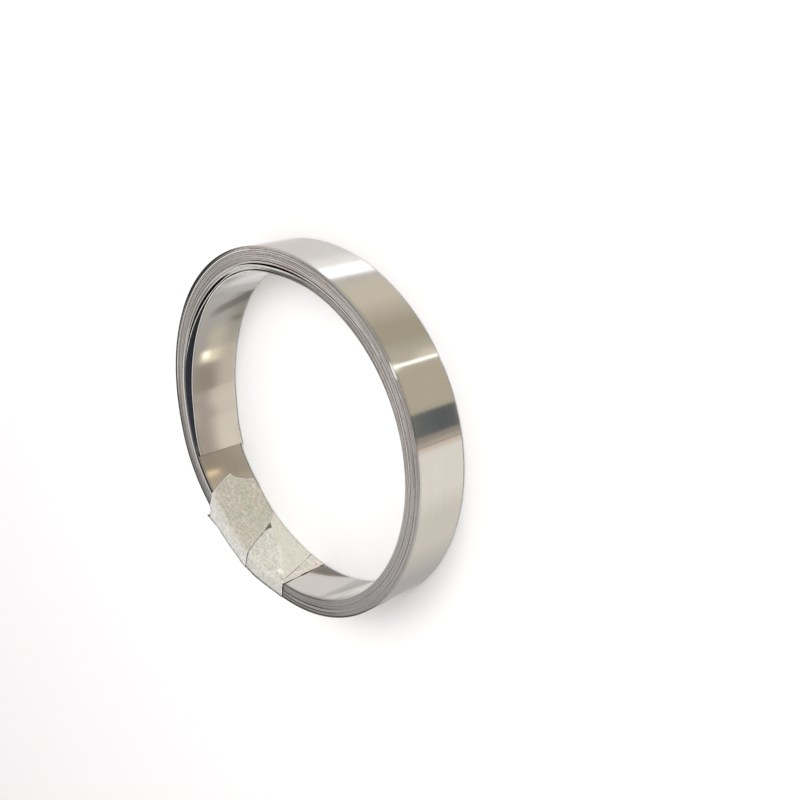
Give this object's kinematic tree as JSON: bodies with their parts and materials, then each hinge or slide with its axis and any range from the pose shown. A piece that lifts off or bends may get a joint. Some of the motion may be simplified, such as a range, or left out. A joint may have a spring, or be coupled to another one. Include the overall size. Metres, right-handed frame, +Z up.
{
  "type": "coil of nickel strip",
  "caption": "Thin bright nickel strip wound into a flat open coil, its turns held by bands of paper tape round one side.",
  "frame": {"origin": "centre of the coil's bore, at the middle of the strip's width", "axes": "+Z up, along the bore's axis, towards the end that the picture shows; the coil lies on its other end; +Y towards what is the top of the standing coil in the picture"},
  "size_m": [0.067, 0.067, 0.0103],
  "materials": {
    "nickel": "bright cold-rolled nickel with a faint rolling grain",
    "paper_tape": "matt creped masking paper, slightly translucent"
  },
  "bodies": {
    "root": {"nickel_strip_coil": "nickel", "under_tape_band": "paper_tape", "over_tape_band": "paper_tape"}
  },
  "joints": []
}
